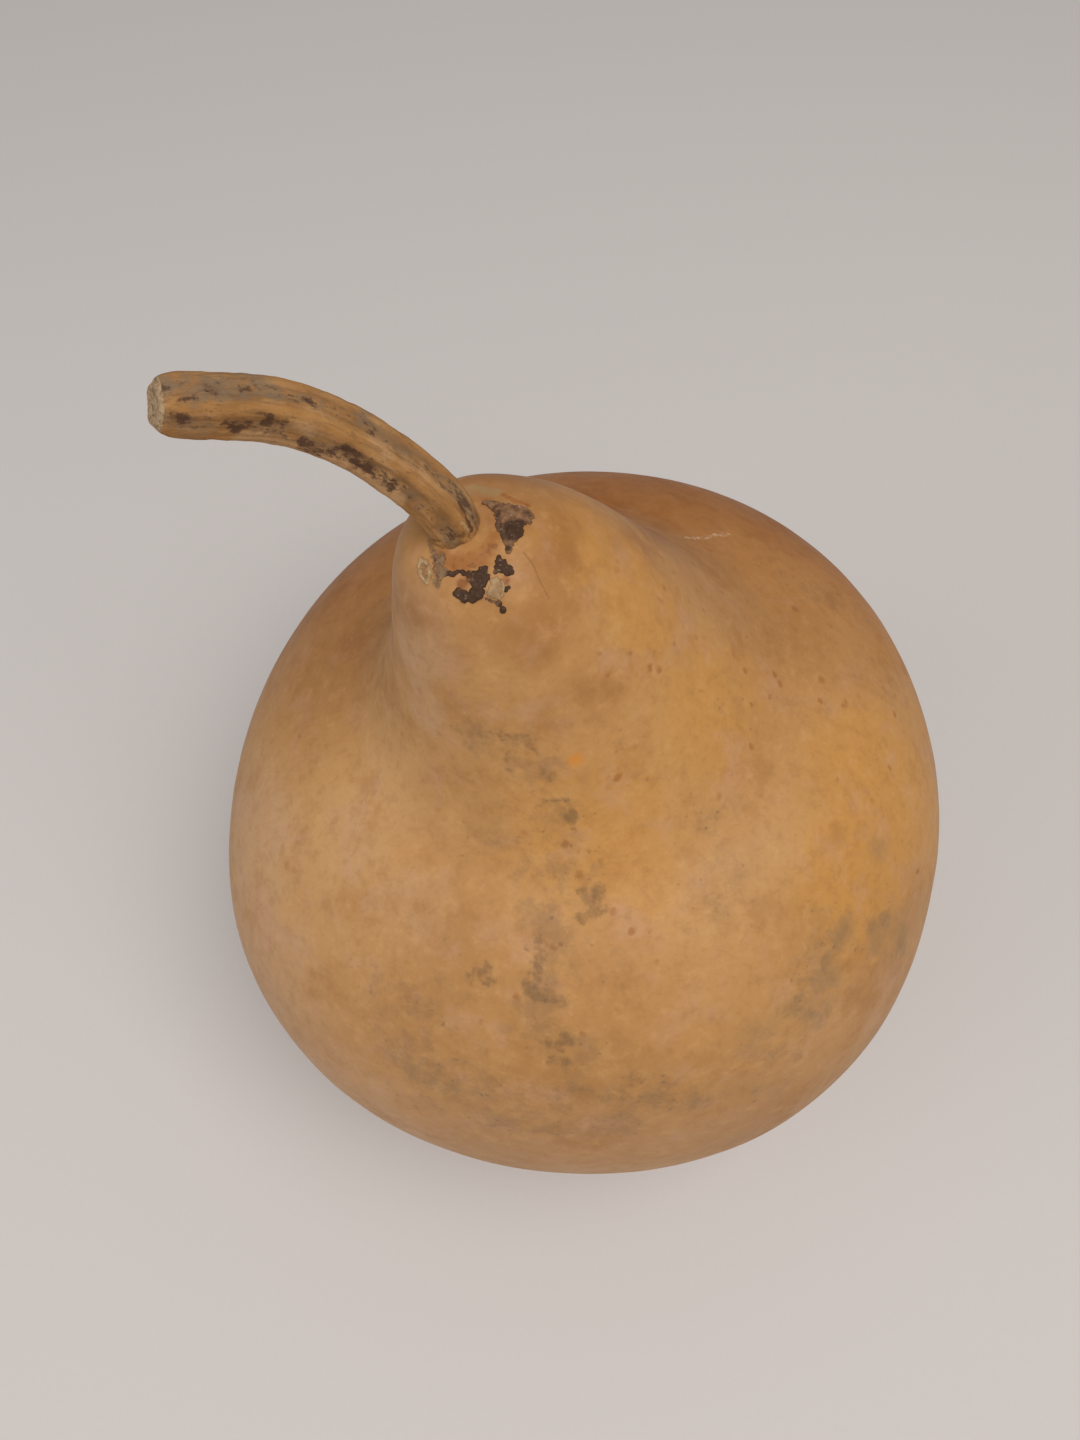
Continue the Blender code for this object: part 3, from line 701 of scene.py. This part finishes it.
tree.links.new(color, shader.inputs["Base Color"])
height = addNode(tree, "Math", {0: spots, 1: 0.8, 2: fibre}, operation="MULTIPLY_ADD")
tornShare = addNode(tree, "Attribute", attribute_name="torn").outputs["Fac"]
height = addNode(tree, "Math", {0: height, 1: tornShare}, operation="SUBTRACT")
bump = addNode(tree, "Bump", {"Strength": 0.7, "Distance": 0.22 * mm, "Height": height})
tree.links.new(bump.outputs[0], shader.inputs["Normal"])

# the stalk's cut end: dry pith and fibre ends, pale grey-beige with darker pores
cutPith, tree, shader = newMaterial("cutPith", {"Roughness": 0.8, "IOR": 1.45, "Specular IOR Level": 0.2})
straight = addNode(tree, "Attribute", attribute_name="straight").outputs["Vector"]
pithPores = noisePattern(tree, straight, 0.7, 4.0, 0.7)
color = addNode(tree, "ValToRGB", {0: pithPores}, [(0.34, "644A34"), (0.48, "987C5C"), (0.66, "B29470")])
tree.links.new(color.outputs[0], shader.inputs["Base Color"])
bump = addNode(tree, "Bump", {"Strength": 0.7, "Distance": 0.2 * mm, "Height": pithPores})
tree.links.new(bump.outputs[0], shader.inputs["Normal"])
dryStalk.data.materials.clear()
dryStalk.data.materials.append(dryFibre)
dryStalk.data.materials.append(cutPith)
heights = [place.vector.z for place in dryStalk.data.attributes["straight"].data]
cutHeight = max(heights) - stalk["cutFace"] * mm
beginEdit(dryStalk)
pick(dryStalk, lambda f: all(heights[v.index] > cutHeight for v in f.verts), "FACE")
dryStalk.active_material_index = 1
bpy.ops.object.material_slot_assign()
endEdit()
print("stalk materials done")

# crusts and scales on the crown: small blisters laid on the skin and melted into one crust, in mm
# strokes follow (right, back) places, patches fill a border of them; then a blister's radius and height
# the blisters' gaps and wander are shares of the radius, their sizes are shares too, and the last two are mm
blister = {"gap": 0.85, "strokeGap": 0.6, "border": 0.6, "wander": 0.45, "scaleWander": 0.12,
           "smallest": 0.65, "biggest": 1.25, "flattest": 0.6, "tallest": 1.2, "voxel": 0.14, "lump": 0.7}
scabs = {
    "crust_front": {"seed": 3, "rough": 0.35, "patches": [
        ([(2.3, -7.1), (2.9, -9.0), (2.2, -10.6), (1.6, -11.6), (0.2, -12.1), (-1.6, -12.2), (-2.7, -11.5),
          (-3.1, -10.6), (-2.4, -10.1), (-1.3, -10.7), (-0.6, -11.0), (0.0, -10.3), (-0.5, -9.4),
          (-0.6, -8.6), (0.6, -8.2), (1.3, -7.8)], 0.42, 0.95)],
        "strokes": [([(0.6, -8.5), (-0.8, -8.3), (-1.8, -7.9), (-2.9, -8.2), (-3.8, -8.0)], 0.42, 0.6),
                    ([(-3.8, -8.0), (-4.6, -7.4), (-4.9, -6.2), (-4.8, -5.2)], 0.6, 0.18),
                    ([(-5.5, -7.8), (-5.8, -6.4), (-5.6, -5.0), (-6.0, -3.8)], 0.5, 0.16),
                    ([(-4.6, -7.8), (-5.3, -8.5), (-5.6, -8.9)], 0.45, 0.2)],
        "marks": {"sooty": [([(2.0, -8.0), (1.5, -10.0), (0.0, -11.5), (-2.4, -11.3)], 2.2, 1.0),
                            ([(0, -8.3), (-3, -8.2)], 1.4, 0.9)],
                  "ashy": [([(-4.2, -7.9), (-4.8, -6.5), (-5.0, -4.2)], 1.3, 1.0), ([(-5.5, -8.7)], 0.9, 0.8),
                           ([(0.6, -9.6), (0.9, -8.7)], 0.6, 0.5)]}},
    "crust_side": {"seed": 5, "rough": 0.4, "patches": [
        ([(1.9, 4.8), (3.8, 4.7), (5.0, 4.1), (6.6, 3.9), (7.8, 3.6), (9.3, 2.7), (9.6, 1.5), (9.1, 0.3),
          (8.2, 0.1), (8.1, -1.2), (8.0, -2.4), (7.0, -3.3), (6.6, -4.2), (6.3, -5.4), (5.8, -5.9),
          (5.1, -4.5), (4.7, -2.6), (4.0, -1.2), (3.5, 1.4), (3.1, 2.9), (1.7, 4.1)], 0.42, 0.5)],
        "strokes": [([(6.8, -0.2), (7.3, -1.2), (7.2, -2.2), (6.4, -2.6), (6.2, -1.2)], 0.55, 0.9)],
        "marks": {"sooty": [([(7.4, -0.6), (7.6, -2.2), (6.0, -2.2), (6.0, -0.8)], 1.4, 1.0),
                            ([(5.8, -4.6)], 0.9, 0.8),
                            ([(4.2, 1.8), (4.6, -1.0), (5.0, -3.2)], 0.8, 0.7), ([(9.0, 1.6)], 0.7, 0.5),
                            ([(2.4, 4.3), (4.0, 4.3)], 0.5, 0.5)],
                  "ashy": [([(2.8, 4.0), (3.8, 2.6), (4.1, 0.6), (4.3, -1.8)], 0.8, 0.7),
                           ([(6.6, -1.4)], 0.6, 0.9),
                           ([(5.6, 3.2), (6.6, 1.4)], 0.8, 0.5)]}},
    "crust_small": {"seed": 7, "rough": 0.3, "patches": [
        ([(4.4, -5.9), (5.2, -6.3), (5.9, -7.2), (6.7, -7.9), (6.5, -8.9), (5.6, -9.0), (4.8, -8.6),
          (3.7, -8.9), (3.5, -8.0), (3.7, -7.0)], 0.4, 0.8)],
        "strokes": [([(5.5, -10.3), (4.9, -10.9)], 0.3, 0.7)],
        "marks": {"sooty": [([(4.8, -7.0), (5.6, -8.2)], 2.4, 1.0), ([(5.2, -10.6)], 1.2, 1.0)],
                  "ashy": [([(4.4, -6.2)], 0.6, 0.5)]}},
    "sliver": {"seed": 9, "rough": 0.15, "patches": [], "strokes": [
        ([(1.9, -11.8), (2.9, -12.15), (3.8, -12.3)], 0.24, 0.7),
        ([(3.8, -12.3), (4.2, -12.8), (4.4, -13.1)], 0.55, 0.7)],
        "marks": {"sooty": [([(4.2, -12.6), (4.5, -13.3)], 1.0, 1.0)],
                  "ashy": [([(1.9, -11.8), (3.2, -12.2)], 0.8, 0.4)]}},
    "scale_front": {"seed": 11, "rough": 0.0, "patches": [
        ([(3.7, -9.0), (4.6, -9.2), (4.9, -10.1), (4.8, -11.0), (4.2, -11.8), (3.6, -12.0), (2.6, -11.9),
          (1.8, -11.5), (2.3, -10.7), (2.9, -9.5)], 0.4, 0.65)],
        "strokes": [([(4.5, -9.5), (4.75, -10.4), (4.5, -11.3), (4.0, -11.8)], 0.22, 1.9)],
        "marks": {"rim": [([(4.6, -9.6), (4.9, -10.5), (4.6, -11.4), (4.0, -12.0)], 0.5, 1.0)],
                  "core": [([(3.2, -9.6)], 0.6, 0.5), ([(2.4, -11.4)], 0.5, 0.5)]}},
    "scale_left": {"seed": 13, "rough": 0.0, "patches": [], "strokes": [
        ([(-8.2, -4.5), (-7.3, -5.2), (-6.8, -6.3), (-6.7, -7.4), (-7.2, -8.3), (-7.9, -7.9), (-8.4, -6.8),
          (-8.7, -5.5), (-8.2, -4.5)], 0.34, 0.75),
        ([(-7.9, -5.6), (-7.6, -6.6), (-7.6, -7.4)], 0.5, 0.15),
        ([(-7.2, -7.9), (-7.4, -8.5)], 0.4, 0.6)],
        "marks": {"rim": [([(-8.2, -4.5), (-7.0, -5.8), (-6.7, -7.4), (-7.2, -8.3), (-8.4, -6.8),
                           (-8.7, -5.5)], 0.45, 0.6)],
                  "core": [([(-7.9, -5.7), (-7.6, -6.7), (-7.6, -7.2)], 0.6, 1.0)]}},
}


def insideBorder(point, border):
    inside = False
    for a, b in zip(border, border[1:] + border[:1]):
        if (a[1] > point[1]) != (b[1] > point[1]):
            if point[0] < a[0] + (b[0] - a[0]) * (point[1] - a[1]) / (b[1] - a[1]):
                inside = not inside
    return inside


def buildScab(name, facts):
    chance = random.Random(facts["seed"])
    blisters = []
    for border, radius, lift in facts["patches"]:
        x = min(p[0] for p in border)
        while x < max(p[0] for p in border):
            y = min(p[1] for p in border)
            while y < max(p[1] for p in border):
                near = [(x + dx * radius * blister["border"], y + dy * radius * blister["border"])
                        for dx, dy in ((1, 0), (-1, 0), (0, 1), (0, -1))]
                if all(insideBorder(place, border) for place in near):
                    blisters.append((Vector((x, y)), radius, lift))
                y += radius * blister["gap"]
            x += radius * blister["gap"]
    for places, radius, lift in facts["strokes"]:
        blisters.append((Vector(places[0]), radius, lift))
        for a, b in zip(places, places[1:]):
            a, b = Vector(a), Vector(b)
            steps = max(int((b - a).length / (radius * blister["strokeGap"])), 1)
            blisters += [(a.lerp(b, (i + 1) / steps), radius, lift) for i in range(steps)]
    made = []
    loose = blister["wander"] if facts["rough"] else blister["scaleWander"]
    for point, radius, lift in blisters:
        wander = Vector((chance.uniform(-1, 1), chance.uniform(-1, 1))) * radius * loose
        place, normal = crownAt(*(point + wander))
        size = radius * chance.uniform(blister["smallest"], blister["biggest"])
        bpy.ops.mesh.primitive_ico_sphere_add(
            subdivisions=2, radius=size * mm, location=place + normal * lift * 0.1 * mm,
            rotation=normal.to_track_quat("Z", "Y").to_euler(),
            scale=(1, 1, lift * chance.uniform(blister["flattest"], blister["tallest"])))
        made.append(bpy.context.object)
    bpy.ops.object.select_all(action="DESELECT")
    for part in made:
        part.select_set(True)
    bpy.context.view_layer.objects.active = made[0]
    bpy.ops.object.join()
    piece = bpy.context.object
    piece.name = name + "_dry"
    bpy.ops.object.transform_apply()
    applyModifier(piece, "REMESH", {"mode": "VOXEL", "voxel_size": blister["voxel"] * mm})
    applyModifier(piece, "SMOOTH", {"factor": 0.5, "iterations": 2 if facts["rough"] else 5})
    if facts["rough"]:
        applyModifier(piece, "DISPLACE", {"texture": lumps(name, blister["lump"], 3),
                                          "strength": facts["rough"] * mm, "mid_level": 0.45})
    bpy.ops.object.shade_smooth()
    finder = makeFinder([vertex.co.copy() for vertex in piece.data.vertices])
    for mark, lines in facts["marks"].items():
        paint(piece, mark, lines, finder, lambda right, back: crownAt(right, back)[0], 0.2)
    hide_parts(name)
    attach(piece, "root")
    return piece


scabPieces = {name: buildScab(name, facts) for name, facts in scabs.items()}
print("scabs:", {name: len(piece.data.polygons) for name, piece in scabPieces.items()})

# gum crust: dried sap and dead tissue, blistered, from brown to nearly black, with pale flecks on it that are
# partly ash and partly painted glints
gumCrust, tree, shader = newMaterial("gumCrust", {"Roughness": 0.65, "IOR": 1.5, "Specular IOR Level": 0.2})
spot = addNode(tree, "TexCoord").outputs["Object"]
clot = noisePattern(tree, spot, 1.3, 5.0, 0.7)
ashAndGlintFlecks = noisePattern(tree, spot, 0.6, 4.0, 0.7)
color = addNode(tree, "ValToRGB", {0: clot}, [(0.34, "533824"), (0.50, "7A563A"), (0.66, "946B48")])
color = layer(tree, color, markShare(tree, "sooty", clot, 1.2, 0.1, 0.8), "3B2617", most=0.88)
color = layer(tree, color, markShare(tree, "ashy", clot, 2.2, 0.2, 1.1), "8C7154", most=0.55)
# pale flecks: partly ash, partly painted glints
color = layer(tree, color, ashAndGlintFlecks, "B09E8A", 0.58, 0.70, 0.5)
tree.links.new(color, shader.inputs["Base Color"])
bump = addNode(tree, "Bump", {"Strength": 0.6, "Distance": 0.15 * mm, "Height": ashAndGlintFlecks})
tree.links.new(bump.outputs[0], shader.inputs["Normal"])

# papery scale: a dead flake of rind, pale and matt, brighter along a lifted rim, tan in its middle
paperScale, tree, shader = newMaterial("paperScale", {"Roughness": 0.6, "IOR": 1.45,
                                                      "Specular IOR Level": 0.3})
spot = addNode(tree, "TexCoord").outputs["Object"]
flake = noisePattern(tree, spot, 1.4, 4.0, 0.6)
color = addNode(tree, "ValToRGB", {0: flake}, [(0.35, "8A6844"), (0.52, "A07E56"), (0.68, "B0906A")])
color = layer(tree, color, markShare(tree, "rim", flake, 0.6, 0.1, 0.8), "CDB28A", most=0.8)
color = layer(tree, color, markShare(tree, "core", flake, 0.6, 0.1, 0.8), "8A653C", most=0.85)
tree.links.new(color, shader.inputs["Base Color"])
bump = addNode(tree, "Bump", {"Strength": 0.4, "Distance": 0.1 * mm, "Height": flake})
tree.links.new(bump.outputs[0], shader.inputs["Normal"])
for name, piece in scabPieces.items():
    piece.data.materials.clear()
    piece.data.materials.append(paperScale if name.startswith("scale") else gumCrust)
print("scab materials done")

# studio: pale floor, soft top light from the front, camera looking down
studio = {"floor": 4.0, "floorDrop": 0.0004, "floorColor": "CFC7C1", "world": "E6E8EA", "worldPower": 0.42,
          "aim": (0, 0, 0.09), "lights": {
              "softTop": {"place": (0.30, -0.42, 1.30), "size": 1.0, "power": 13.4, "color": "FFFFFF"},
              "coolSide": {"place": (-0.95, -0.35, 0.45), "size": 0.7, "power": 3.2, "color": "DCE4F0"}},
          "camera": (-0.0103, -0.1068, 0.3262), "pitch": 28.0, "lens": 27.0}
bpy.ops.object.select_all(action="DESELECT")
bpy.ops.mesh.primitive_plane_add(size=studio["floor"], location=(0, 0, -studio["floorDrop"]))
paperFloor = bpy.context.object
paperFloor.name = "paperFloor"
floorPaper, tree, shader = newMaterial("floorPaper", {"Roughness": 0.85, "IOR": 1.45})
spot = addNode(tree, "TexCoord").outputs["Object"]
fibres = noisePattern(tree, spot, 1.5, 4.0)
color = layer(tree, linearColor(studio["floorColor"]), fibres, "C4BDB6", 0.3, 0.7, 0.08)
tree.links.new(color, shader.inputs["Base Color"])
paperFloor.data.materials.append(floorPaper)

scene.view_settings.view_transform = "Standard"
world = bpy.data.worlds.new("paleRoom")
scene.world = world
world.use_nodes = True
world.node_tree.nodes["Background"].inputs[0].default_value = linearColor(studio["world"])
world.node_tree.nodes["Background"].inputs[1].default_value = studio["worldPower"]
for name, facts in studio["lights"].items():
    bpy.ops.object.light_add(type="AREA", location=facts["place"])
    light = bpy.context.object
    light.name = name
    light.data.size = facts["size"]
    light.data.energy = facts["power"]
    light.data.color = linearColor(facts["color"])[:3]
    way = Vector(studio["aim"]) - Vector(facts["place"])
    light.rotation_euler = way.to_track_quat("-Z", "Y").to_euler()
bpy.ops.object.camera_add(location=studio["camera"], rotation=(math.radians(studio["pitch"]), 0, 0))
scene.camera = bpy.context.object
scene.camera.data.lens = studio["lens"]
scene.camera.data.clip_start = 0.01
print("studio set")
